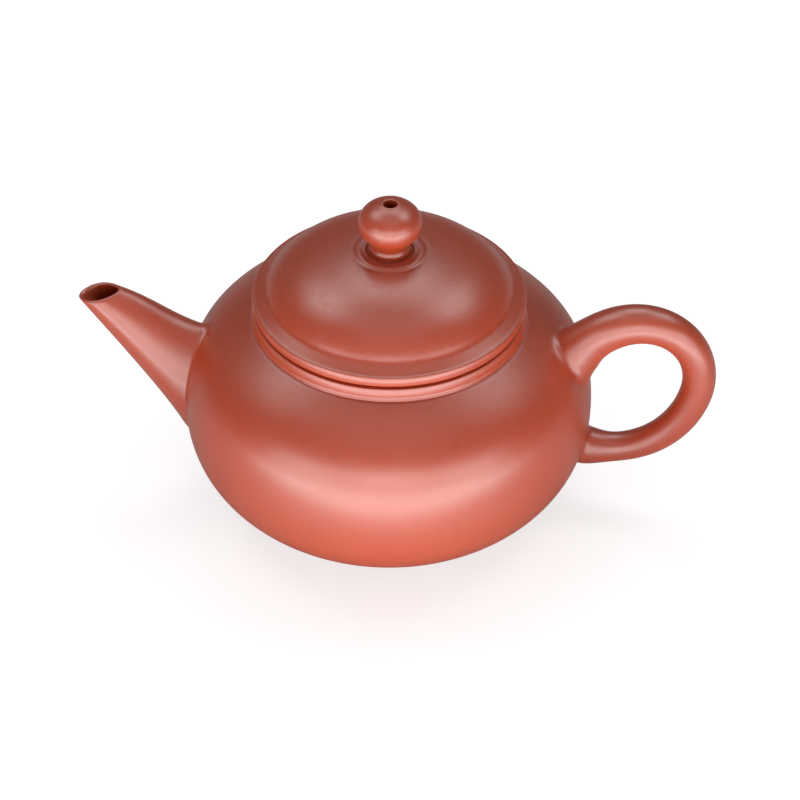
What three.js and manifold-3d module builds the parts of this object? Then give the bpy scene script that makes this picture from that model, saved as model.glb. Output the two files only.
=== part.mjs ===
// A small gongfu teapot of unglazed red clay, in millimetres, +Z up.
// The origin is the centre of the flat base. The spout points along -X and the handle along +X.
// The pot and the lid are each built from separately formed clay pieces with a thin seam of slip
// between neighbours. The vent runs through the knob and the dome under it.

import * as THREE from "three";
import { mergeVertices } from "three/addons/utils/BufferGeometryUtils.js";
import Module from "manifold-3d";

const wasm = await Module();
wasm.setup();

// Driving dimensions
const SEAM = 0.3; // thickness of the slip between two joined pieces
const AROUND = 48; // facets round the pot's axis
const WALL = 2.5; // thickness of the belly wall
const EDGE = 0.4; // width of the softened edges

const BASE_RADIUS = 22;
const BASE_THICKNESS = 2.4;
const BELLY_RADIUS = 39;
const BELLY_HEIGHT = 22.5; // height of the widest place
const SHOULDER_RADIUS = 26.3; // where the shoulder meets the mouth ring
const SHOULDER_HEIGHT = 42.1;
const PLATE_HEIGHT = 39.4; // foot of the shoulder plate
const PLATE_TOP = 42;

const MOUTH_RADIUS = 21.4; // radius of the opening
const MOUTH_HEIGHT = 44.8;
const RING_RADIUS = 26.1;
const RING_RIDGE_HEIGHT = 0.7; // the thin ridge at the ring's foot
const RING_STEP = 0.1; // from the ridge in to the round band above it

const LID_SEAT_GAP = 0.25; // between the mouth ring and the lid that rests on it
const BEAD_OUTER_RADIUS = 25.85; // the lid's widest place
const BEAD_RADIUS = 1.2; // of the bead's round section
const BAND_FOOT = [25.1, 47.2]; // radius and height where the sloping band starts
const BAND_TOP = [22.9, 48.5];
const FLANGE_CLEARANCE = 0.4; // between the flange and the mouth
const FLANGE_THICKNESS = 2;
const FLANGE_DEPTH = 7.5;
const DOME_RADIUS = 23;
const DOME_EDGE_HEIGHT = 49; // where the curve of the dome starts
const DOME_FOOT_RADIUS = 22.85;
const DOME_HEIGHT = 57.6; // where the curve would meet the axis
const DOME_THICKNESS = 2.3;
const SEAT_RADIUS = 7.3; // flat on top of the dome for the knob and its collar
const SEAT_HEIGHT = 56.7;

const VENT_RADIUS = 1.3;
const KNOB_RADIUS = 5.9;
const KNOB_WIDEST_HEIGHT = 63.9;
const KNOB_NECK = [3.7, 59.7]; // radius and height of the narrow place
const KNOB_FOOT_BEAD = [3.95, 59]; // of the small bead under the neck
const KNOB_FOOT_RADIUS = 3.5;
const KNOB_HEIGHT = 68;
const COLLAR_INNER_RADIUS = 4.5;
const COLLAR_OUTER_RADIUS = 7;
const COLLAR_THICKNESS = 0.75;

// The spout's rails are given by x and z.
const SPOUT_LIP = [-59.1, 42.1]; // outermost point of the tip
const SPOUT_HEEL = [-51.1, 44.2]; // innermost point of the tip
const SPOUT_TOP_END = [-33.2, 35]; // inside the belly, where it is trimmed off
const SPOUT_FILLET_START = [-39.6, 14.3];
const SPOUT_BOTTOM_END = [-34, 9.4]; // inside the belly
const SPOUT_TIP_HALF_WIDTH = 3.65;
const SPOUT_ROOT_HALF_WIDTH = 7.1;
const SPOUT_TIP_WALL = 0.95;
const SPOUT_ROOT_WALL = 1.9;
const SPOUT_SQUARENESS = 0.7; // 0 for an ellipse, more for fuller corners, at the root

const STRAINER_HEIGHT = 25.5;
const STRAINER_RADIUS = 5;
const STRAINER_WALL = 1.1;
const STRAINER_HOLE_RADIUS = 0.6;
const STRAINER_HOLES = [ // rings of holes, by degrees from the strainer's axis
  { tilt: 0, count: 1 },
  { tilt: 31, count: 6 },
  { tilt: 60, count: 12 },
];

const HANDLE_TOP_ROOT = [34.85, 34.9];
const HANDLE_OUTERMOST = [59.15, 30.9];
const HANDLE_BOTTOM_ROOT = [37.86, 13.15];
const HANDLE_TOP_HALF = 4.15; // half of its thickness at the upper root
const HANDLE_MIDDLE_HALF = 3.18;
const HANDLE_BOTTOM_HALF = 2.75;
const HANDLE_FLARE = 1;
const HANDLE_FLARE_LENGTH = 4;
const HANDLE_BURIED = 4; // length drawn on into the belly before it is trimmed

// Curves and solids

const DEGREE = Math.PI / 180;

const point = ([x, y]) => new THREE.Vector2(x, y);

// A cubic curve from one point to another, given by its directions and handle lengths there.
function curveBetween(from, fromAngle, fromPull, to, toAngle, toPull) {
  const along = (at, angle, pull) => [
    at[0] + pull * Math.cos(angle * DEGREE),
    at[1] + pull * Math.sin(angle * DEGREE),
  ];
  return new THREE.CubicBezierCurve(
    point(from),
    point(along(from, fromAngle, fromPull)),
    point(along(to, toAngle, toPull)),
    point(to),
  );
}

// Moves each point of an open outline sideways, to the right of its direction for d > 0.
function offset(points, d) {
  return points.map((p, i) => {
    const before = points[Math.max(i - 1, 0)];
    const after = points[Math.min(i + 1, points.length - 1)];
    const run = after.clone().sub(before).normalize();
    return new THREE.Vector2(p.x + d * run.y, p.y - d * run.x);
  });
}

// The part of an outline between two heights, with its ends cut exactly there.
function between(points, low, high) {
  const at = (z) => {
    const i = points.findIndex((p, k) => k > 0 && (p.y - z) * (points[k - 1].y - z) <= 0);
    const [a, b] = [points[i - 1], points[i]];
    return a.clone().lerp(b, (z - a.y) / (b.y - a.y));
  };
  return [at(low), ...points.filter((p) => p.y > low && p.y < high), at(high)];
}

// An arc of points round a centre, by angles in degrees.
function arc(x, y, radius, from, to, steps) {
  const turn = (i) => (from + ((to - from) * i) / steps) * DEGREE;
  return Array.from(
    { length: steps + 1 },
    (_, i) => new THREE.Vector2(x + radius * Math.cos(turn(i)), y + radius * Math.sin(turn(i))),
  );
}

// A point of an outline, moved onto the axis where rounding has left it a hair beside it.
function ontoAxis(p) {
  const [x, y] = Array.isArray(p) ? p : [p.x, p.y];
  return new THREE.Vector2(Math.abs(x) < 1e-6 ? 0 : x, y);
}

// A solid of revolution about +Z. A ring's outline is closed here on its first point.
function revolve(outline, ring = true, facets = AROUND) {
  const points = outline.map((p) => (Array.isArray(p) ? point(p) : p));
  if (ring) points.push(points[0].clone());
  return new THREE.LatheGeometry(points, facets).rotateX(Math.PI / 2);
}

// A closed body through rings of points that all have the same count, capped at both ends.
function loft(rings) {
  const count = rings[0].length;
  const middle = (ring) =>
    ring.reduce((sum, p) => sum.add(p), new THREE.Vector3()).divideScalar(count);
  const first = rings[0];
  const last = rings[rings.length - 1];
  const points = [...rings.flat(), middle(first), middle(last)];
  const start = points.length - 2;
  const end = points.length - 1;
  const index = [];
  for (let r = 0; r < rings.length - 1; r += 1) {
    for (let i = 0; i < count; i += 1) {
      const a = r * count + i;
      const b = r * count + ((i + 1) % count);
      index.push(a, b, b + count, a, b + count, a + count);
    }
  }
  for (let i = 0; i < count; i += 1) {
    const j = (i + 1) % count;
    const tail = (rings.length - 1) * count;
    index.push(start, j, i);
    index.push(end, tail + i, tail + j);
  }
  return new THREE.BufferGeometry().setFromPoints(points).setIndex(index);
}

function solid(geometry) {
  const bare = geometry.clone();
  bare.deleteAttribute("normal");
  bare.deleteAttribute("uv");
  const merged = mergeVertices(bare, 1e-4);
  return new wasm.Manifold(
    new wasm.Mesh({
      numProp: 3,
      vertProperties: merged.attributes.position.array,
      triVerts: new Uint32Array(merged.index.array),
    }),
  );
}

function geometryOf(manifold) {
  const mesh = manifold.getMesh();
  return new THREE.BufferGeometry()
    .setAttribute("position", new THREE.BufferAttribute(mesh.vertProperties, 3))
    .setIndex(new THREE.BufferAttribute(mesh.triVerts, 1));
}

// The pot's outer outline, from the edge of the base to the foot of the mouth ring

const lowerBelly = curveBetween(
  [BASE_RADIUS, 0], 29.4, 9.7,
  [BELLY_RADIUS, BELLY_HEIGHT], -90, 12.7,
);
const upperBelly = curveBetween(
  [BELLY_RADIUS, BELLY_HEIGHT], 90, 11,
  [SHOULDER_RADIUS, SHOULDER_HEIGHT], -30.9, 10.4,
);
const outside = [...lowerBelly.getPoints(8), ...upperBelly.getPoints(7).slice(1)];
const inside = offset(outside, -WALL);

function baseDisc() {
  return revolve([[0, 0], ...between(outside, 0, BASE_THICKNESS), [0, BASE_THICKNESS]], false);
}

function bellyWallSolid() {
  const low = BASE_THICKNESS + SEAM;
  const high = PLATE_HEIGHT - SEAM;
  const outer = between(outside, low, high);
  const inner = between(inside, low, high);
  return solid(revolve([...outer, ...inner.reverse()]));
}

// The whole belly with a seam's clearance round it, which trims what is luted on outside.
function bellyTrimmer() {
  const grown = between(offset(outside, SEAM), 1, SHOULDER_HEIGHT - 1);
  const low = grown[0].y;
  const high = grown[grown.length - 1].y;
  return solid(revolve([[0, low], ...grown, [0, high]], false));
}

function shoulderPlate() {
  return revolve([
    ...between(outside, PLATE_HEIGHT, PLATE_TOP),
    [MOUTH_RADIUS, PLATE_TOP],
    [MOUTH_RADIUS, PLATE_HEIGHT],
  ]);
}

function mouthRing() {
  const foot = PLATE_TOP + SEAM;
  const ridge = foot + RING_RIDGE_HEIGHT;
  const round = (MOUTH_HEIGHT - ridge) / 2;
  return revolve([
    [RING_RADIUS - EDGE / 2, foot],
    [RING_RADIUS, foot + EDGE / 2],
    [RING_RADIUS, ridge - EDGE / 2],
    ...arc(RING_RADIUS - RING_STEP - round, ridge + round, round, -60, 90, 6),
    [MOUTH_RADIUS + EDGE, MOUTH_HEIGHT],
    [MOUTH_RADIUS, MOUTH_HEIGHT - EDGE],
    [MOUTH_RADIUS, foot],
  ]);
}

// Spout: a loft between a top rail and a bottom rail, round at the tip and egg-shaped at the root.
// The bottom rail ends in a fillet that carries the spout's underside round into the belly.

const spoutTop = curveBetween(SPOUT_HEEL, -22.6, 7.4, SPOUT_TOP_END, 170.5, 8);
const spoutBottom = new THREE.CurvePath();
spoutBottom.add(curveBetween(SPOUT_LIP, -49.2, 9.8, SPOUT_FILLET_START, 116.3, 9.9));
spoutBottom.add(curveBetween(SPOUT_FILLET_START, -63.7, 3, SPOUT_BOTTOM_END, 150, 2.5));

// One closed section of the spout at u from tip to root, drawn in by the wall's thickness.
function spoutSection(u, wall, sides) {
  const top = spoutTop.getPointAt(u);
  const bottom = spoutBottom.getPointAt(u);
  const up = top.clone().sub(bottom);
  const halfHeight = up.length() / 2 - wall;
  up.normalize();
  const middle = top.clone().add(bottom).divideScalar(2);
  const halfWidth =
    THREE.MathUtils.lerp(SPOUT_TIP_HALF_WIDTH, SPOUT_ROOT_HALF_WIDTH, u) - wall;
  const blunt = 2 / (2 + SPOUT_SQUARENESS * u);
  return Array.from({ length: sides }, (_, i) => {
    const angle = (i / sides) * 2 * Math.PI;
    const rise = halfHeight * Math.sign(Math.cos(angle)) * Math.abs(Math.cos(angle)) ** blunt;
    const side = halfWidth * Math.sign(Math.sin(angle)) * Math.abs(Math.sin(angle)) ** blunt;
    return new THREE.Vector3(middle.x + up.x * rise, -side, middle.y + up.y * rise);
  });
}

function spoutGeometry(trimmer) {
  const steps = 14;
  const sides = 24;
  const share = (i) => i / steps;
  const outer = Array.from({ length: steps + 1 }, (_, i) => spoutSection(share(i), 0, sides));
  const bore = Array.from({ length: steps + 1 }, (_, i) => {
    const wall = THREE.MathUtils.lerp(SPOUT_TIP_WALL, SPOUT_ROOT_WALL, share(i));
    return spoutSection(share(i), wall, sides);
  });
  // The bore runs on past the tip, square to the cut.
  const lipToHeel = point(SPOUT_HEEL).sub(point(SPOUT_LIP)).normalize();
  const past = new THREE.Vector3(-lipToHeel.y, 0, lipToHeel.x);
  bore.unshift(bore[0].map((p) => p.clone().add(past)));
  return geometryOf(solid(loft(outer)).subtract(solid(loft(bore))).subtract(trimmer));
}

// Strainer: a thimble with its round end inside the pot, pierced all over that end

function strainerGeometry() {
  const inner = STRAINER_RADIUS - STRAINER_WALL;
  const sleeve = WALL; // straight length that lies in the belly wall
  const thimble = solid(revolve([
    ...arc(0, sleeve, STRAINER_RADIUS, 0, 90, 6),
    ...arc(0, sleeve, inner, 90, 0, 5),
    [inner, 0],
    [STRAINER_RADIUS, 0],
  ].map(ontoAxis), true, 24));
  const drill = new THREE.CylinderGeometry(
    STRAINER_HOLE_RADIUS, STRAINER_HOLE_RADIUS, 1.8 * STRAINER_WALL, 6,
  ).rotateX(Math.PI / 2).translate(0, 0, STRAINER_RADIUS - STRAINER_WALL / 2);
  const holes = STRAINER_HOLES.flatMap(({ tilt, count }) =>
    Array.from({ length: count }, (_, i) =>
      drill.clone()
        .rotateX(tilt * DEGREE)
        .rotateZ(((i + 0.5) / count) * 2 * Math.PI)
        .translate(0, 0, sleeve),
    ),
  );
  return geometryOf(holes.reduce((left, hole) => left.subtract(solid(hole)), thimble));
}

// Handle: round sections along a plane curve, tapered from the upper root to the lower one

const handleUpper = curveBetween(HANDLE_TOP_ROOT, 56, 17.9, HANDLE_OUTERMOST, 90, 12.2);
const handleLower = curveBetween(HANDLE_OUTERMOST, -90, 7.3, HANDLE_BOTTOM_ROOT, -9, 15.2);

function handleGeometry(trimmer) {
  const steps = 33;
  const sides = 16;
  const start = handleUpper.getPoint(0);
  const end = handleLower.getPoint(1);
  const buried = (at, run) => at.clone().addScaledVector(run, HANDLE_BURIED);
  const path = new THREE.CurvePath();
  path.add(new THREE.LineCurve(buried(start, handleUpper.getTangent(0).negate()), start));
  path.add(handleUpper);
  path.add(handleLower);
  path.add(new THREE.LineCurve(end, buried(end, handleLower.getTangent(1))));
  const upperLength = handleUpper.getLength();
  const length = upperLength + handleLower.getLength();
  const halfAt = (gone) => {
    const [from, to, share] = gone < upperLength
      ? [HANDLE_TOP_HALF, HANDLE_MIDDLE_HALF, gone / upperLength]
      : [HANDLE_MIDDLE_HALF, HANDLE_BOTTOM_HALF, (gone - upperLength) / (length - upperLength)];
    const taper = THREE.MathUtils.lerp(from, to, THREE.MathUtils.smoothstep(share, 0, 1));
    const flare = (gap) => HANDLE_FLARE * Math.exp(-((Math.max(gap, 0) / HANDLE_FLARE_LENGTH) ** 2));
    return taper + flare(gone) + flare(length - gone);
  };
  const rings = Array.from({ length: steps + 1 }, (_, k) => {
    const share = k / steps;
    const at = path.getPointAt(share);
    const run = path.getTangentAt(share);
    const half = halfAt(share * path.getLength() - HANDLE_BURIED);
    return Array.from({ length: sides }, (_, i) => {
      const angle = (i / sides) * 2 * Math.PI;
      const out = half * Math.cos(angle);
      return new THREE.Vector3(at.x - run.y * out, -half * Math.sin(angle), at.y + run.x * out);
    });
  });
  return geometryOf(solid(loft(rings)).subtract(trimmer));
}

// Lid

const lidFoot = MOUTH_HEIGHT + LID_SEAT_GAP;
const flangeRadius = MOUTH_RADIUS - FLANGE_CLEARANCE;
const flangeBore = flangeRadius - FLANGE_THICKNESS;

function lidRim() {
  return revolve([
    [flangeBore, lidFoot],
    ...arc(BEAD_OUTER_RADIUS - BEAD_RADIUS, lidFoot + BEAD_RADIUS, BEAD_RADIUS, -90, 60, 7),
    BAND_FOOT,
    BAND_TOP,
    [flangeBore, BAND_TOP[1]],
  ]);
}

const domeCurve = curveBetween(
  [DOME_RADIUS, DOME_EDGE_HEIGHT], 123.8, 8.5,
  [0, DOME_HEIGHT], 0, 9.2,
);

// The part of an outline that runs in towards the axis, cut off at a radius.
function downTo(points, radius) {
  const past = points.findIndex((p) => p.x < radius);
  const [a, b] = [points[past - 1], points[past]];
  return [...points.slice(0, past), a.clone().lerp(b, (a.x - radius) / (a.x - b.x))];
}

function lidDome() {
  const foot = BAND_TOP[1] + SEAM;
  const outer = domeCurve.getPoints(9);
  const inner = offset(outer, -DOME_THICKNESS).filter((p) => p.y > foot + EDGE);
  return revolve([
    [DOME_FOOT_RADIUS, foot],
    ...downTo(outer, SEAT_RADIUS),
    [SEAT_RADIUS, SEAT_HEIGHT],
    [VENT_RADIUS, SEAT_HEIGHT],
    ...downTo(inner, VENT_RADIUS).reverse(),
    [DOME_FOOT_RADIUS - DOME_THICKNESS, foot],
  ]);
}

function lidFlange() {
  const top = lidFoot - SEAM;
  const low = lidFoot - FLANGE_DEPTH;
  return revolve([
    [flangeRadius - EDGE, low],
    [flangeRadius, low + EDGE],
    [flangeRadius, top],
    [flangeBore, top],
    [flangeBore, low + EDGE],
    [flangeBore + EDGE, low],
  ]);
}

const seatTop = SEAT_HEIGHT + SEAM;

function knobCollar() {
  const top = seatTop + COLLAR_THICKNESS;
  return revolve([
    [COLLAR_INNER_RADIUS, seatTop],
    [COLLAR_OUTER_RADIUS, seatTop],
    [COLLAR_OUTER_RADIUS, top - EDGE],
    [COLLAR_OUTER_RADIUS - EDGE, top],
    [COLLAR_INNER_RADIUS + EDGE, top],
    [COLLAR_INNER_RADIUS, top - EDGE],
  ], true, 32);
}

function knobGeometry() {
  const lower = curveBetween(
    KNOB_NECK, 60, 2.1,
    [KNOB_RADIUS, KNOB_WIDEST_HEIGHT], -90, 2.5,
  );
  const upper = curveBetween(
    [KNOB_RADIUS, KNOB_WIDEST_HEIGHT], 90, 1.5,
    [0, KNOB_HEIGHT], 0, 4,
  );
  return revolve([
    [VENT_RADIUS, seatTop],
    [KNOB_FOOT_RADIUS, seatTop],
    [KNOB_FOOT_RADIUS, KNOB_FOOT_BEAD[1] - EDGE],
    KNOB_FOOT_BEAD,
    ...lower.getPoints(5),
    ...downTo(upper.getPoints(8), VENT_RADIUS + EDGE).slice(1),
    [VENT_RADIUS, KNOB_HEIGHT - EDGE / 2],
  ], true, 32);
}

// Assembly

const clay = () =>
  new THREE.MeshStandardMaterial({ color: 0xab5c50, roughness: 0.55, metalness: 0 });

function piece(name, geometry) {
  const mesh = new THREE.Mesh(geometry, clay());
  mesh.name = name;
  return mesh;
}

const trimmer = bellyTrimmer();
const strainerHole = new THREE.CylinderGeometry(
  STRAINER_RADIUS + SEAM, STRAINER_RADIUS + SEAM, 4 * WALL, 24,
).rotateZ(Math.PI / 2).translate(-BELLY_RADIUS, 0, STRAINER_HEIGHT);

const strainer = piece("strainer", strainerGeometry());
strainer.rotation.y = Math.PI / 2;
strainer.position.set(-(BELLY_RADIUS - SEAM), 0, STRAINER_HEIGHT);

const pot = new THREE.Group();
pot.add(
  piece("base_disc", baseDisc()),
  piece("belly_wall", geometryOf(bellyWallSolid().subtract(solid(strainerHole)))),
  piece("shoulder_plate", shoulderPlate()),
  piece("mouth_ring", mouthRing()),
  piece("spout", spoutGeometry(trimmer)),
  strainer,
  piece("handle", handleGeometry(trimmer)),
);

const lid = new THREE.Group();
lid.add(
  piece("lid_dome", lidDome()),
  piece("lid_rim", lidRim()),
  piece("lid_flange", lidFlange()),
  piece("knob_collar", knobCollar()),
  piece("knob", knobGeometry()),
);

const teapot = new THREE.Group();
teapot.add(pot, lid);

export default teapot;
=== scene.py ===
# The gongfu teapot dressed over its CAD frame: fired red clay with a burnished sheen.
# Shapes are written in millimetres, with +Z up, and scaled to metres where a mesh is made.

import math

import bmesh
import bpy
from mathutils import Matrix, Vector


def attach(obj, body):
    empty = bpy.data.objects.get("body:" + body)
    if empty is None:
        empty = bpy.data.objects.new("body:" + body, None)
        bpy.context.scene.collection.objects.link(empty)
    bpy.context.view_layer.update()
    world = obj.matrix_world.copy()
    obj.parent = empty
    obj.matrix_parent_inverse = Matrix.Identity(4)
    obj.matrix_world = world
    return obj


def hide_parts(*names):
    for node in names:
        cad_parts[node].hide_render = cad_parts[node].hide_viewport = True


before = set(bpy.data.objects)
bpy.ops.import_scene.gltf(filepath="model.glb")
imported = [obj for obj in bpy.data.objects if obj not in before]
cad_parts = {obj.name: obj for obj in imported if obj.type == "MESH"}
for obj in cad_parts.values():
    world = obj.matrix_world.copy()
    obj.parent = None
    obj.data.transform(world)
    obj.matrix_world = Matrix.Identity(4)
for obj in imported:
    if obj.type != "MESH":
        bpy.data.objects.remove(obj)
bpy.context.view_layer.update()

MM = 0.001

# Pot and lid, with the CAD model's own sizes
WALL = 2.5
BASE_RADIUS = 22
BELLY_RADIUS = 39
BELLY_HEIGHT = 22.5
SHOULDER_RADIUS = 26.3
SHOULDER_HEIGHT = 42.1
MOUTH_RADIUS = 21.4
MOUTH_HEIGHT = 44.8
RING_RADIUS = 26.1
LID_FOOT = 45.05
FLANGE_RADIUS = 21
FLANGE_BORE = 19
FLANGE_LOW = 37.55
DOME_RADIUS = 23
DOME_EDGE_HEIGHT = 49
DOME_HEIGHT = 57.6
DOME_THICKNESS = 2.3
VENT_RADIUS = 1.3
KNOB_RADIUS = 5.9
KNOB_WIDEST_HEIGHT = 63.9

# Spout, with a rounder and wider root and a narrower, thinner lip than the CAD model's
SPOUT_LIP = (-59.38, 42.6)
SPOUT_HEEL = (-51.1, 44.2)
SPOUT_TOP_END = (-33.2, 35.7)
SPOUT_FILLET_START = (-39.6, 14.3)
SPOUT_BOTTOM_END = (-34, 9.4)
SPOUT_TIP_HALF_WIDTH = 3.05
SPOUT_SPREAD = (8.5, -3)  # growth of the half width along the spout, by its share and the square
SPOUT_TIP_WALL = 0.68
SPOUT_ROOT_WALL = 1.9
SPOUT_SAG = 0.15  # how far the section is narrower above its middle and wider below
SPOUT_ROUNDNESS = 0.22  # how far the section draws in towards its top and bottom
SPOUT_TIP_SHARE = 0.012  # length of the rounded rim, as a share of the spout
SPOUT_FILLETS = (0.5, 1.2)  # at the sides and foot, and on top

STRAINER_HEIGHT = 25.5
STRAINER_HOLE = 5.25  # radius
STRAINER_HOLE_MIDDLE = -37.5
STRAINER_HOLE_LENGTH = 10

# Handle
HANDLE_TOP_ROOT = (34.85, 34.9)
HANDLE_OUTERMOST = (59.13, 30.9)
HANDLE_BOTTOM_ROOT = (37.86, 13.15)
HANDLE_HALVES = (4.15, 3.18, 2.75)  # half thickness at the upper root, outermost and lower root
HANDLE_FLARE = 1
HANDLE_FLARE_LENGTH = 4
HANDLE_BURIED = 5  # length drawn on into the belly, to find where the two meet
HANDLE_TOP_FILLETS = (1.5, 3.4)  # on the outside of the bend, and on its inside
HANDLE_BOTTOM_FILLET = 1.6

# Where a fillet ends on the belly: its foot stands a little proud, then dips under the skin
FILLET_LIFT = 0.015
FILLET_DIP = (0.05, 0.3)  # down and out from the foot
FILLET_END = (0.5, 0.1)
HALVINGS = 40  # steps in which a meeting with the belly is found


# Plane curves, as lists of Vector((x, z))

def lerp(a, b, t):
    return a + (b - a) * t


def cubic(start, start_angle, start_pull, end, end_angle, end_pull, steps):
    """A cubic curve given by its directions, in degrees, and its handle lengths."""
    def along(at, angle, pull):
        turn = math.radians(angle)
        return Vector(at) + pull * Vector((math.cos(turn), math.sin(turn)))

    a, d = Vector(start), Vector(end)
    b, c = along(start, start_angle, start_pull), along(end, end_angle, end_pull)
    points = []
    for i in range(steps + 1):
        t = i / steps
        s = 1 - t
        points.append(s * s * s * a + 3 * s * s * t * b + 3 * s * t * t * c + t * t * t * d)
    return points


def offset(points, distance):
    """The outline moved to the right of its direction."""
    moved = []
    for i, p in enumerate(points):
        run = points[min(i + 1, len(points) - 1)] - points[max(i - 1, 0)]
        run.normalize()
        moved.append(Vector((p.x + distance * run.y, p.y - distance * run.x)))
    return moved


def rounded(corners, steps=5):
    """A polyline whose corners, given as (x, z, radius), are softened."""
    points = []
    for i, (x, z, radius) in enumerate(corners):
        here = Vector((x, z))
        if radius == 0 or i in (0, len(corners) - 1):
            points.append(here)
            continue
        before = Vector(corners[i - 1][:2]) - here
        after = Vector(corners[i + 1][:2]) - here
        a = here + before.normalized() * min(radius, before.length * 0.48)
        b = here + after.normalized() * min(radius, after.length * 0.48)
        for k in range(steps + 1):
            t = k / steps
            points.append((1 - t) ** 2 * a + 2 * t * (1 - t) * here + t * t * b)
    return points


class Path:
    """A plane polyline that can be read by its share of length."""

    def __init__(self, points):
        self.points = points
        self.lengths = [0.0]
        for a, b in zip(points, points[1:]):
            self.lengths.append(self.lengths[-1] + (b - a).length)
        self.length = self.lengths[-1]

    def at(self, share):
        gone = share * self.length
        low, high = 0, len(self.points) - 1
        while high - low > 1:
            middle = (low + high) // 2
            if self.lengths[middle] <= gone:
                low = middle
            else:
                high = middle
        span = self.lengths[high] - self.lengths[low]
        return self.points[low].lerp(self.points[high], (gone - self.lengths[low]) / span)

    def run(self, share):
        reach = 1e-3
        ahead = self.at(min(share + reach, 1))
        behind = self.at(max(share - reach, 0))
        return (ahead - behind).normalized()


# Meshes

def add_piece(name, bm, body, nodes):
    """Makes the mesh an object that rides on a body and stands for CAD nodes."""
    bmesh.ops.recalc_face_normals(bm, faces=bm.faces)
    mesh = bpy.data.meshes.new(name)
    bm.to_mesh(mesh)
    bm.free()
    mesh.polygons.foreach_set("use_smooth", [True] * len(mesh.polygons))
    piece = bpy.data.objects.new(name, mesh)
    bpy.context.scene.collection.objects.link(piece)
    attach(piece, body)
    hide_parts(*nodes)
    return piece


def ring_mesh(rings, closed=False):
    """Quads between neighbouring rings of points. Open ends are capped with a fan."""
    bm = bmesh.new()
    made = [[bm.verts.new(Vector(p) * MM) for p in ring] for ring in rings]
    count = len(made[0])
    pairs = list(zip(made, made[1:]))
    if closed:
        pairs.append((made[-1], made[0]))
    for one, other in pairs:
        for i in range(count):
            j = (i + 1) % count
            bm.faces.new((one[i], one[j], other[j], other[i]))
    if not closed:
        for ring in (made[0], made[-1]):
            middle = sum((v.co for v in ring), Vector()) / count
            hub = bm.verts.new(middle)
            for i in range(count):
                bm.faces.new((ring[i], ring[(i + 1) % count], hub))
    return bm


def revolve(outline, around=256):
    """A solid of revolution. An outline that starts and ends on the axis is closed there."""
    bm = bmesh.new()
    turns = [2 * math.pi * k / around for k in range(around)]
    columns = []
    for p in outline:
        if abs(p.x) < 1e-6:
            columns.append([bm.verts.new((0, 0, p.y * MM))])
        else:
            columns.append([
                bm.verts.new((p.x * math.cos(t) * MM, p.x * math.sin(t) * MM, p.y * MM))
                for t in turns
            ])
    pairs = list(zip(columns, columns[1:]))
    if abs(outline[0].x) > 1e-6:
        pairs.append((columns[-1], columns[0]))
    for one, other in pairs:
        if len(one) == 1 and len(other) == 1:
            continue
        for i in range(around):
            j = (i + 1) % around
            if len(one) == 1:
                bm.faces.new((one[0], other[j], other[i]))
            elif len(other) == 1:
                bm.faces.new((one[i], one[j], other[0]))
            else:
                bm.faces.new((one[i], one[j], other[j], other[i]))
    return bm


# Pot

belly = (
    cubic((BASE_RADIUS, 0), 29.4, 9.7, (BELLY_RADIUS, BELLY_HEIGHT), -90, 12.7, 60)
    + cubic(
        (BELLY_RADIUS, BELLY_HEIGHT), 90, 11, (SHOULDER_RADIUS, SHOULDER_HEIGHT), -30.9, 10.4, 60,
    )[1:]
)
belly_inside = [p for p in offset(belly, -WALL) if p.y > 3.4]


def belly_radius(z):
    """The belly's outer radius at a height."""
    if z <= belly[0].y:
        return belly[0].x
    for a, b in zip(belly, belly[1:]):
        if z <= b.y:
            return lerp(a.x, b.x, (z - a.y) / (b.y - a.y))
    return belly[-1].x


def belly_normal(p):
    """The belly's outward normal near a point of space."""
    step = 0.05
    slope = (belly_radius(p.z + step) - belly_radius(p.z - step)) / (2 * step)
    out = Vector((p.x, p.y, 0)).normalized()
    return (out - Vector((0, 0, slope))).normalized()


def outside_belly(p):
    """How far a point of space is outside the belly, level with it."""
    return math.hypot(p.x, p.y) - belly_radius(p.z)


def pot_outline():
    """From the axis under the base, up the outside, through the mouth and down the inside."""
    foot = rounded([(20, 0, 0), (BASE_RADIUS, 0, 0.9), tuple(belly[4]) + (0,)])
    return (
        [Vector((0, 0.25)), Vector((17.5, 0.25)), Vector((18.2, 0))]
        + foot[:-1]
        + belly[4:]
        + [Vector((24, SHOULDER_HEIGHT + 0.05))]
        + rounded([
            (23, 42.15, 0), (MOUTH_RADIUS, 42.15, 0.4), (MOUTH_RADIUS, 39.9, 0.5),
            (24.6, 39.9, 0.6), (25.4, 39.7, 0),
        ])
        + [p for p in reversed(belly_inside) if p.x > 25.6 and p.y > 20]
        + [p for p in reversed(belly_inside) if p.y <= 20]
        + [Vector((20, 2.5)), Vector((0, 2.4))]
    )


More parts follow.
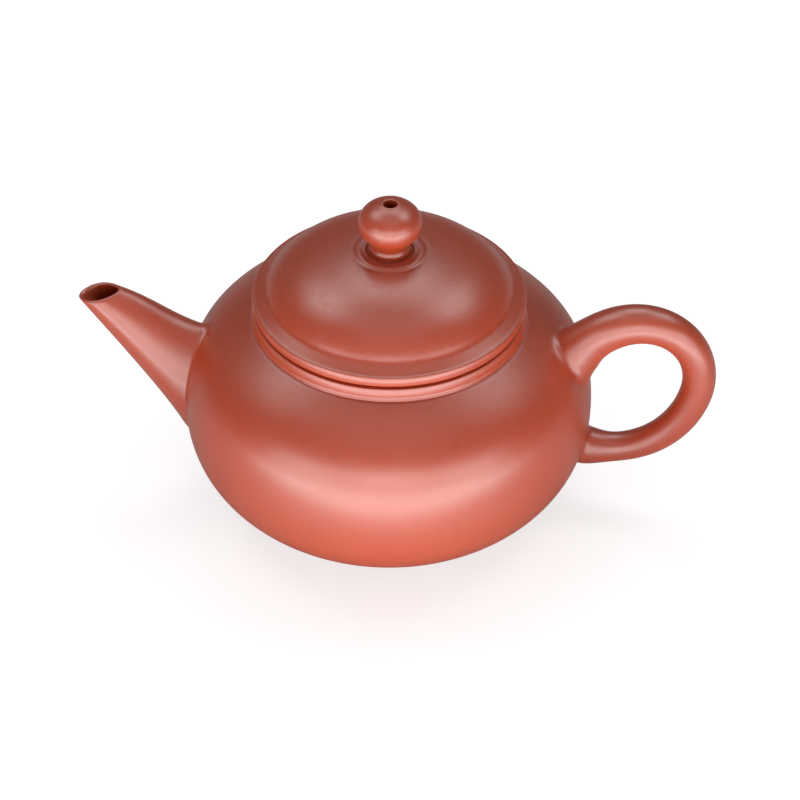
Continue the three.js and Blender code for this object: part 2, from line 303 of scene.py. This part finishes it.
def cut_strainer_hole(piece):
    """Opens the wall where the strainer sits."""
    cutter_mesh = bpy.data.meshes.new("strainer_cutter")
    bm = bmesh.new()
    middle = Matrix.Translation((STRAINER_HOLE_MIDDLE * MM, 0, STRAINER_HEIGHT * MM))
    bmesh.ops.create_cone(
        bm, cap_ends=True, segments=64, radius1=STRAINER_HOLE * MM, radius2=STRAINER_HOLE * MM,
        depth=STRAINER_HOLE_LENGTH * MM, matrix=middle @ Matrix.Rotation(math.pi / 2, 4, "Y"),
    )
    bm.to_mesh(cutter_mesh)
    bm.free()
    cutter = bpy.data.objects.new("strainer_cutter", cutter_mesh)
    bpy.context.scene.collection.objects.link(cutter)
    cut = piece.modifiers.new("hole", "BOOLEAN")
    cut.operation = "DIFFERENCE"
    cut.solver = "EXACT"
    cut.object = cutter
    bpy.context.view_layer.update()
    evaluated = piece.evaluated_get(bpy.context.evaluated_depsgraph_get())
    done = bpy.data.meshes.new_from_object(evaluated)
    piece.modifiers.remove(cut)
    piece.data = done
    bpy.data.objects.remove(cutter)


def lip(outer_ring, inner_ring, crown_ring, steps=6):
    """Rings that carry an outer surface round a rim into a bore."""
    rings = []
    for k in range(1, steps):
        t = k / steps
        rings.append([
            (1 - t) ** 2 * a + 2 * t * (1 - t) * c + t * t * b
            for a, b, c in zip(outer_ring, inner_ring, crown_ring)
        ])
    return rings


def crossing(line, low, high):
    """The parameter where a line of the surface meets the belly, between outside and inside."""
    for _ in range(HALVINGS):
        middle = (low + high) / 2
        if outside_belly(line(middle)) > 0:
            low = middle
        else:
            high = middle
    return (low + high) / 2


def back_from(line, meeting, toward, distance):
    """The parameter at a distance from the meeting point, on the way to another parameter."""
    low, high = 0.0, 1.0
    for _ in range(HALVINGS):
        middle = (low + high) / 2
        if (line(lerp(meeting, toward, middle)) - line(meeting)).length < distance:
            low = middle
        else:
            high = middle
    return lerp(meeting, toward, (low + high) / 2)


def fillet_rings(starts, meetings, reaches, steps=8):
    """Rings that carry a surface round into the belly, ending just under its skin."""
    count = len(meetings)
    centre = sum(meetings, Vector()) / count
    feet, sunk, buried = [], [], []
    for i, (p, reach) in enumerate(zip(meetings, reaches)):
        chord = meetings[(i + 1) % count] - meetings[i - 1]
        normal = belly_normal(p)
        away = normal.cross(chord).normalized()
        if away.dot(p - centre) < 0:
            away.negate()
        foot = p + away * reach
        flat = Vector((foot.x, foot.y, 0)).normalized() * (belly_radius(foot.z) + FILLET_LIFT)
        foot = Vector((flat.x, flat.y, foot.z))
        feet.append(foot)
        sunk.append(foot - FILLET_DIP[0] * normal + FILLET_DIP[1] * away)
        buried.append(foot - FILLET_END[0] * normal + FILLET_END[1] * away)
    rings = []
    for k in range(1, steps + 1):
        t = k / steps
        rings.append([
            (1 - t) ** 2 * a + 2 * t * (1 - t) * m + t * t * f
            for a, m, f in zip(starts, meetings, feet)
        ])
    return rings + [sunk, buried]


spout_top = Path(cubic(SPOUT_HEEL, -20, 7.4, SPOUT_TOP_END, 170.5, 8, 200))
spout_bottom = Path(
    cubic(SPOUT_LIP, -53, 9.8, SPOUT_FILLET_START, 116.3, 9.9, 200)
    + cubic(SPOUT_FILLET_START, -63.7, 3, SPOUT_BOTTOM_END, 150, 2.5, 60)[1:]
)


def spout_wall(share):
    return lerp(SPOUT_TIP_WALL, SPOUT_ROOT_WALL, share)


def spout_point(share, angle, inset):
    """A point of the spout at a share of its length, drawn in by the inset."""
    top, bottom = spout_top.at(share), spout_bottom.at(share)
    up = top - bottom
    half_height = up.length / 2 - inset
    up.normalize()
    middle = (top + bottom) / 2
    spread = share * (SPOUT_SPREAD[0] + share * SPOUT_SPREAD[1])
    half_width = SPOUT_TIP_HALF_WIDTH + spread - inset
    c, s = math.cos(angle), math.sin(angle)
    rise = half_height * c
    bulge = (1 + SPOUT_ROUNDNESS * s * s) / (1 + SPOUT_ROUNDNESS)
    side = half_width * s * bulge * (1 - SPOUT_SAG * c)
    return Vector((middle.x + up.x * rise, -side, middle.y + up.y * rise))


def make_spout():
    sides, steps = 96, 60
    angles = [2 * math.pi * k / sides for k in range(sides)]
    starts, meetings, sizes, outer_shares, bore_shares = [], [], [], [], []
    for angle in angles:
        def outer(share):
            return spout_point(share, angle, 0)

        def bore(share):
            return spout_point(share, angle, spout_wall(share))

        meeting = crossing(outer, 0.3, 1)
        size = lerp(*SPOUT_FILLETS, max(math.cos(angle), 0) ** 2)
        start = back_from(outer, meeting, 0.2, size)
        meetings.append(outer(meeting))
        sizes.append(size)
        starts.append(outer(start))
        outer_shares.append(start)
        bore_shares.append(crossing(bore, 0.3, 1))

    def rings_to(last_shares, wall):
        rings = []
        for k in range(steps + 1):
            shares = [lerp(SPOUT_TIP_SHARE, last, k / steps) for last in last_shares]
            rings.append([spout_point(s, a, wall(s)) for s, a in zip(shares, angles)])
        return rings

    outer_rings = rings_to(outer_shares, lambda share: 0)
    bore_rings = rings_to(bore_shares, spout_wall)
    crown = [spout_point(0, a, SPOUT_TIP_WALL / 2) for a in angles]
    depth = 0.6
    deep = [p - depth * belly_normal(p) for p in bore_rings[-1]]
    rings = (
        bore_rings[::-1]
        + lip(bore_rings[0], outer_rings[0], crown)
        + outer_rings
        + fillet_rings(starts, meetings, sizes)
        + [deep]
    )
    return add_piece("spout_shell", ring_mesh(rings, closed=True), "pot", ["spout"])


handle_upper = cubic(HANDLE_TOP_ROOT, 56, 17.9, HANDLE_OUTERMOST, 90, 12.2, 160)
handle_lower = cubic(HANDLE_OUTERMOST, -90, 7.3, HANDLE_BOTTOM_ROOT, -9, 15.2, 160)


def make_handle():
    sides, steps = 64, 150
    upper, lower = Path(handle_upper), Path(handle_lower)
    first = handle_upper[0] - upper.run(0) * HANDLE_BURIED
    last = handle_lower[-1] + lower.run(1) * HANDLE_BURIED
    path = Path([first] + handle_upper + handle_lower[1:] + [last])
    length = upper.length + lower.length

    def half_at(gone):
        if gone < upper.length:
            (low, high), share = HANDLE_HALVES[:2], gone / upper.length
        else:
            (low, high), share = HANDLE_HALVES[1:], (gone - upper.length) / lower.length
        share = min(max(share, 0), 1)
        taper = lerp(low, high, share * share * (3 - 2 * share))
        flare = 0
        for gap in (gone, length - gone):
            flare += HANDLE_FLARE * math.exp(-((max(gap, 0) / HANDLE_FLARE_LENGTH) ** 2))
        return taper + flare

    def point(share, angle):
        at, run = path.at(share), path.run(share)
        half = half_at(share * path.length - HANDLE_BURIED)
        out = half * math.cos(angle)
        return Vector((at.x - run.y * out, -half * math.sin(angle), at.y + run.x * out))

    angles = [2 * math.pi * k / sides for k in range(sides)]
    ends = []
    for inside in (0.0, 1.0):
        meetings, starts, sizes, shares = [], [], [], []
        for angle in angles:
            def line(share):
                return point(share, angle)

            if inside == 0:
                size = lerp(*HANDLE_TOP_FILLETS, max(-math.cos(angle), 0))
                meeting = crossing(line, 0.4, inside)
            else:
                size = HANDLE_BOTTOM_FILLET
                meeting = crossing(line, 0.5, inside)
            start = back_from(line, meeting, 0.5, size)
            meetings.append(line(meeting))
            sizes.append(size)
            starts.append(line(start))
            shares.append(start)
        ends.append((shares, fillet_rings(starts, meetings, sizes)))
    (first_shares, first_fillet), (last_shares, last_fillet) = ends
    spans = list(zip(first_shares, last_shares, angles))
    rings = [
        [point(lerp(a, b, k / steps), angle) for a, b, angle in spans]
        for k in range(steps + 1)
    ]
    loop = ring_mesh(first_fillet[::-1] + rings + last_fillet)
    return add_piece("handle_loop", loop, "pot", ["handle"])


def make_pot():
    body = add_piece(
        "pot_body", revolve(pot_outline(), 288), "pot",
        ["base_disc", "belly_wall", "shoulder_plate"],
    )
    cut_strainer_hole(body)
    ring = (
        rounded([
            (MOUTH_RADIUS, 42, 0), (25.9, 42, 0), (RING_RADIUS, 42.15, 0.12),
            (RING_RADIUS, 42.32, 0.1), (25.84, 42.7, 0.12),
        ])[:-1]
        + cubic((25.79, 42.8), 81, 0.45, (25.79, 44.1), -80, 0.35, 10)
        + cubic((25.79, 44.1), 100, 0.3, (25.52, 44.68), 0, 0.16, 8)[1:]
        + rounded([
            (22.2, MOUTH_HEIGHT, 0), (MOUTH_RADIUS, MOUTH_HEIGHT, 0.5), (MOUTH_RADIUS, 43, 0),
            (MOUTH_RADIUS, 42, 0),
        ])[:-1]
    )
    pieces = [body, add_piece("mouth_band", revolve(ring), "pot", ["mouth_ring"])]
    return pieces + [make_spout(), make_handle()]


# Lid

def make_lid():
    # The outline goes down the flange's bore, up its outside and the rim, over the dome to the
    # vent, and back under the dome.
    dome = cubic((DOME_RADIUS, DOME_EDGE_HEIGHT), 121.5, 7.8, (0, DOME_HEIGHT), 0, 9.2, 60)
    under = [p for p in offset(dome, -DOME_THICKNESS) if p.y > 49.6 and p.x > 2]
    outline = (
        rounded([
            (FLANGE_BORE, 45, 0), (FLANGE_BORE, FLANGE_LOW, 0.6), (FLANGE_RADIUS, FLANGE_LOW, 0.6),
            (FLANGE_RADIUS, LID_FOOT, 0.12), (24.4, LID_FOOT, 0), (25.67, 45.4, 0.08),
            (25.72, 45.7, 0),
        ])
        + cubic((25.74, 45.8), 84, 0.2, (25.8, 46.3), -90, 0.2, 6)
        + cubic((25.8, 46.3), 90, 0.28, (25.72, 46.96), -74, 0.2, 8)[1:]
        + cubic((25.72, 46.96), 106, 0.2, (25.4, 47.32), -8, 0.15, 8)[1:]
        + rounded([
            (25.4, 47.32, 0), (25.12, 47.38, 0.25), (23.4, 48.54, 0.25), (22.98, 48.98, 0.3),
            tuple(dome[2]) + (0,),
        ])[1:]
        + [p for p in dome[3:] if p.x > 7.3]
        + rounded([
            (6.9, 57.1, 0), (6.5, 57.26, 0.15), (6.3, 57.5, 0.25), (5.7, 57.58, 0.2),
            (5.2, 57.5, 0.2), (4.5, 57.55, 0.25), (4.25, 57.27, 0.2), (3.2, 57.25, 0),
        ])
        + rounded([
            (VENT_RADIUS + 0.2, 56.95, 0), (VENT_RADIUS, 56.9, 0.1), (VENT_RADIUS, 55.2, 0.3),
            (2.2, 55.15, 0),
        ])
        + list(reversed(under))
        + rounded([(20.2, 49.2, 0), (FLANGE_BORE, 48.3, 0.6), (FLANGE_BORE, 45.2, 0)])
    )
    body = add_piece(
        "lid_body", revolve(outline), "lid", ["lid_dome", "lid_rim", "lid_flange", "knob_collar"],
    )
    knob_top = cubic((KNOB_RADIUS, KNOB_WIDEST_HEIGHT), 90, 1.5, (0, 67.86), 0, 4, 40)
    knob_outline = (
        rounded([
            (VENT_RADIUS, 57.1, 0), (3.6, 57.1, 0.1), (3.62, 57.6, 0.3), (3.93, 57.95, 0.3),
            (3.93, 58.35, 0.35), (3.66, 58.85, 0.3),
        ])[:-1]
        + cubic((3.66, 59.05), 62, 2.4, (KNOB_RADIUS, KNOB_WIDEST_HEIGHT), -90, 2.6, 20)
        + [p for p in knob_top[1:] if p.x > 1.75]
        + rounded([(1.7, 67.79, 0), (VENT_RADIUS, 67.78, 0.14), (VENT_RADIUS, 67, 0)])
    )
    knob = add_piece("knob_ball", revolve(knob_outline, 160), "lid", ["knob"])
    return [body, knob]


# Clay

RED = (0.38, 0.039, 0.006)
PALE = (0.42, 0.049, 0.01)
DARK = (0.29, 0.028, 0.005)


def clay_material(name, tone):
    """Fired red clay: fine sand in it, a burnished skin and a faint mottling from the kiln."""
    material = bpy.data.materials.new(name)
    material.use_nodes = True
    nodes, links = material.node_tree.nodes, material.node_tree.links
    nodes.clear()
    out = nodes.new("ShaderNodeOutputMaterial")
    shader = nodes.new("ShaderNodeBsdfPrincipled")
    links.new(shader.outputs["BSDF"], out.inputs["Surface"])
    place = nodes.new("ShaderNodeTexCoord")

    def noise(scale, detail, roughness=0.5):
        node = nodes.new("ShaderNodeTexNoise")
        node.inputs["Scale"].default_value = scale
        node.inputs["Detail"].default_value = detail
        node.inputs["Roughness"].default_value = roughness
        links.new(place.outputs["Object"], node.inputs["Vector"])
        return node.outputs["Fac"]

    def mapped(value, low, high, to_low, to_high):
        node = nodes.new("ShaderNodeMapRange")
        node.inputs["From Min"].default_value = low
        node.inputs["From Max"].default_value = high
        node.inputs["To Min"].default_value = to_low
        node.inputs["To Max"].default_value = to_high
        links.new(value, node.inputs["Value"])
        return node.outputs["Result"]

    def mixed(factor, one, other):
        node = nodes.new("ShaderNodeMix")
        node.data_type = "RGBA"
        links.new(factor, node.inputs["Factor"])
        for socket, value in (("A", one), ("B", other)):
            slot = [s for s in node.inputs if s.name == socket and s.type == "RGBA"][0]
            if isinstance(value, tuple):
                slot.default_value = (*value, 1)
            else:
                links.new(value, slot)
        return [s for s in node.outputs if s.type == "RGBA"][0]

    red, pale, dark = [tuple(c * tone for c in colour) for colour in (RED, PALE, DARK)]
    kiln = mapped(noise(26, 3), 0.3, 0.7, 0, 0.55)
    grain = mapped(noise(2600, 2), 0.55, 0.72, 0, 0.35)
    sand = mapped(noise(1300, 1), 0.62, 0.74, 0, 0.45)
    colour = mixed(kiln, red, pale)
    colour = mixed(grain, colour, dark)
    colour = mixed(sand, colour, pale)
    links.new(colour, shader.inputs["Base Color"])
    links.new(mapped(noise(900, 3), 0.3, 0.7, 0.33, 0.4), shader.inputs["Roughness"])
    shader.inputs["IOR"].default_value = 1.64
    shader.inputs["Specular IOR Level"].default_value = 1.0
    bump = nodes.new("ShaderNodeBump")
    bump.inputs["Strength"].default_value = 0.12
    bump.inputs["Distance"].default_value = 0.00012
    links.new(noise(2200, 4, 0.6), bump.inputs["Height"])
    links.new(bump.outputs["Normal"], shader.inputs["Normal"])
    return material


# Studio. The camera's sizes are in millimetres and pixels, and the rest in metres.

VIEW_AZIMUTH = 4.4
VIEW_ELEVATION = 39.54
VIEW_ROLL = 0.76
VIEW_DISTANCE = 600
FOCAL_PIXELS = 3109
VIEW_TARGET = Vector((2.243, 0.173, 21.15))
IMAGE_PIXELS = 800
SENSOR_WIDTH = 36
LAMP_TARGET = Vector((0, 0, 0.03))
PAD_WIDTH = 0.16
PAD_DEPTH = 0.23
PAD_DISTANCE = 0.19
PAD_HEIGHT = 0.002
BOUNCE_WIDTH = 0.36
BOUNCE_DEPTH = 0.12
BOUNCE_DISTANCE = 0.1
BOUNCE_HEIGHT = 0.001
BOUNCE_RADIANCE = 1.7
FLOOR_HALF_SIZE = 6
FLOOR_DROP = 0.0001
FLOOR_COLOUR = (0.6, 0.6, 0.6)
# Strengths for rays from the camera, for mirrored and refracted ones, and for all of them
FLOOR_GLOW = (0.66, 0.03, 0)
ROOM_GLOW = (0.9, 0.03, 0.1)
# The floor's glow grows with the distance from the pot, so that it is white as far as it reaches
GLOW_NEAR = (0.15, 1)
GLOW_FAR = (0.6, 1.5)


def direction(azimuth, elevation):
    """The unit vector towards a place in the studio, with azimuth 0 on the camera's side."""
    a, e = math.radians(azimuth + VIEW_AZIMUTH), math.radians(elevation)
    return Vector((math.sin(a) * math.cos(e), -math.cos(a) * math.cos(e), math.sin(e)))


def add_camera():
    back = direction(0, VIEW_ELEVATION)
    right = Vector((0, 0, 1)).cross(back).normalized()
    up = back.cross(right)
    roll = math.radians(VIEW_ROLL)
    across = math.cos(roll) * right + math.sin(roll) * up
    above = math.cos(roll) * up - math.sin(roll) * right
    data = bpy.data.cameras.new("camera")
    data.sensor_width = SENSOR_WIDTH
    data.lens = FOCAL_PIXELS / IMAGE_PIXELS * SENSOR_WIDTH
    data.clip_start = 0.01
    data.clip_end = 20
    camera = bpy.data.objects.new("camera", data)
    place = (VIEW_TARGET + VIEW_DISTANCE * back) * MM
    turn = Matrix((across, above, back)).transposed().to_4x4()
    camera.matrix_world = Matrix.Translation(place) @ turn
    bpy.context.scene.collection.objects.link(camera)
    bpy.context.scene.camera = camera


def add_lamp(name, width, height, radiance, place, turn):
    """An area lamp whose own brightness is given, where 1 is a white sheet in full light."""
    data = bpy.data.lights.new(name, "AREA")
    data.shape = "RECTANGLE"
    data.size, data.size_y = width, height
    data.energy = radiance * math.pi * width * height
    lamp = bpy.data.objects.new(name, data)
    lamp.location = place
    lamp.rotation_euler = turn
    bpy.context.scene.collection.objects.link(lamp)
    return lamp


def add_softbox(name, azimuth, elevation, distance, width, height, radiance):
    """A softbox in the air, turned to the pot."""
    place = LAMP_TARGET + distance * direction(azimuth, elevation)
    turn = (LAMP_TARGET - place).to_track_quat("-Z", "Y").to_euler()
    add_lamp(name, width, height, radiance, place, turn)


def add_floor_lamp(name, across, distance, lift, width, depth, radiance):
    """A lamp that lies on the floor in front of the pot, faces up and is hidden from the camera."""
    place = distance * direction(0, 0) + across * direction(90, 0) + Vector((0, 0, lift))
    turn = (math.pi, 0, math.radians(VIEW_AZIMUTH))
    lamp = add_lamp(name, width, depth, radiance, place, turn)
    lamp.visible_camera = False
    return lamp


def add_pad(name, across, radiance):
    """A part of the white table in front of the pot, which the clay mirrors."""
    add_floor_lamp(name, across, PAD_DISTANCE, PAD_HEIGHT, PAD_WIDTH, PAD_DEPTH, radiance)


def add_bounce():
    """The table's bounce onto the underside of the belly, too soft to leave a highlight."""
    lamp = add_floor_lamp(
        "bounce", 0, BOUNCE_DISTANCE, BOUNCE_HEIGHT, BOUNCE_WIDTH, BOUNCE_DEPTH, BOUNCE_RADIANCE,
    )
    lamp.visible_glossy = False


def seen_strength(nodes, links, camera, mirrored, everywhere):
    """A strength for all rays, with more for the camera's and for mirrored and refracted ones."""
    rays = nodes.new("ShaderNodeLightPath")
    mirror, base, total = [nodes.new("ShaderNodeMath") for _ in range(3)]
    mirror.operation = "MAXIMUM"
    base.operation = total.operation = "MULTIPLY_ADD"
    base.inputs[1].default_value = camera
    base.inputs[2].default_value = everywhere
    total.inputs[1].default_value = mirrored
    links.new(rays.outputs["Is Glossy Ray"], mirror.inputs[0])
    links.new(rays.outputs["Is Transmission Ray"], mirror.inputs[1])
    links.new(rays.outputs["Is Camera Ray"], base.inputs[0])
    links.new(mirror.outputs[0], total.inputs[0])
    links.new(base.outputs[0], total.inputs[2])
    return total.outputs[0]


def add_floor():
    """White paper that keeps the pot's shadow."""
    floor_mesh = bpy.data.meshes.new("floor")
    bm = bmesh.new()
    bmesh.ops.create_grid(bm, x_segments=1, y_segments=1, size=FLOOR_HALF_SIZE)
    bm.to_mesh(floor_mesh)
    bm.free()
    floor = bpy.data.objects.new("floor", floor_mesh)
    floor.location.z = -FLOOR_DROP
    bpy.context.scene.collection.objects.link(floor)
    paper = bpy.data.materials.new("paper")
    paper.use_nodes = True
    nodes, links = paper.node_tree.nodes, paper.node_tree.links
    nodes.clear()
    out = nodes.new("ShaderNodeOutputMaterial")
    diffuse = nodes.new("ShaderNodeBsdfDiffuse")
    diffuse.inputs["Color"].default_value = (*FLOOR_COLOUR, 1)
    glow = nodes.new("ShaderNodeEmission")
    both = nodes.new("ShaderNodeAddShader")
    place = nodes.new("ShaderNodeTexCoord")
    away = nodes.new("ShaderNodeVectorMath")
    away.operation = "LENGTH"
    links.new(place.outputs["Object"], away.inputs[0])
    fade = nodes.new("ShaderNodeMapRange")
    fade.inputs["From Min"].default_value, fade.inputs["To Min"].default_value = GLOW_NEAR
    fade.inputs["From Max"].default_value, fade.inputs["To Max"].default_value = GLOW_FAR
    links.new(away.outputs["Value"], fade.inputs["Value"])
    strength = nodes.new("ShaderNodeMath")
    strength.operation = "MULTIPLY"
    links.new(seen_strength(nodes, links, *FLOOR_GLOW), strength.inputs[0])
    links.new(fade.outputs["Result"], strength.inputs[1])
    links.new(strength.outputs[0], glow.inputs["Strength"])
    links.new(diffuse.outputs[0], both.inputs[0])
    links.new(glow.outputs[0], both.inputs[1])
    links.new(both.outputs[0], out.inputs["Surface"])
    floor.data.materials.append(paper)


def add_room():
    world = bpy.data.worlds.new("room")
    bpy.context.scene.world = world
    world.use_nodes = True
    nodes, links = world.node_tree.nodes, world.node_tree.links
    nodes.clear()
    out = nodes.new("ShaderNodeOutputWorld")
    sky = nodes.new("ShaderNodeBackground")
    sky.inputs["Color"].default_value = (1, 1, 1, 1)
    links.new(seen_strength(nodes, links, *ROOM_GLOW), sky.inputs["Strength"])
    links.new(sky.outputs[0], out.inputs["Surface"])


def add_lamps():
    # Azimuth, elevation, distance, width, height and radiance of each softbox
    add_softbox("front_left", -42, 12, 0.75, 0.5, 0.3, 2.45)
    add_softbox("front", 0, 14, 0.75, 0.5, 0.34, 2.95)
    add_softbox("front_right", 42, 12, 0.75, 0.5, 0.3, 2.55)
    add_pad("pad_left", -0.16, 3.8)
    add_pad("pad", 0, 3)
    add_pad("pad_right", 0.16, 3.8)
    add_bounce()
    add_softbox("back_left", -115, 55, 0.8, 0.4, 0.35, 2.5)
    add_softbox("back_right", 115, 55, 0.8, 0.4, 0.35, 2.5)
    add_softbox("back", 180, 60, 0.8, 0.4, 0.35, 2.6)
    add_softbox("top", 0, 72, 0.8, 0.7, 0.6, 0.4)


# The scene

clay = clay_material("red_clay", 1.0)
# Painted shade: the strainer inside the pot gets a copy of the clay at 0.92 of its brightness,
# darker only because it sits in the pot's shade
painted_shade_clay = clay_material("red_clay_strainer_painted_shade", 0.92)

for made in make_pot() + make_lid():
    made.data.materials.clear()
    made.data.materials.append(clay)

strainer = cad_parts["strainer"]
for slot in strainer.material_slots:
    slot.material = painted_shade_clay

add_floor()
add_room()
add_lamps()
add_camera()
bpy.context.scene.view_settings.view_transform = "Standard"
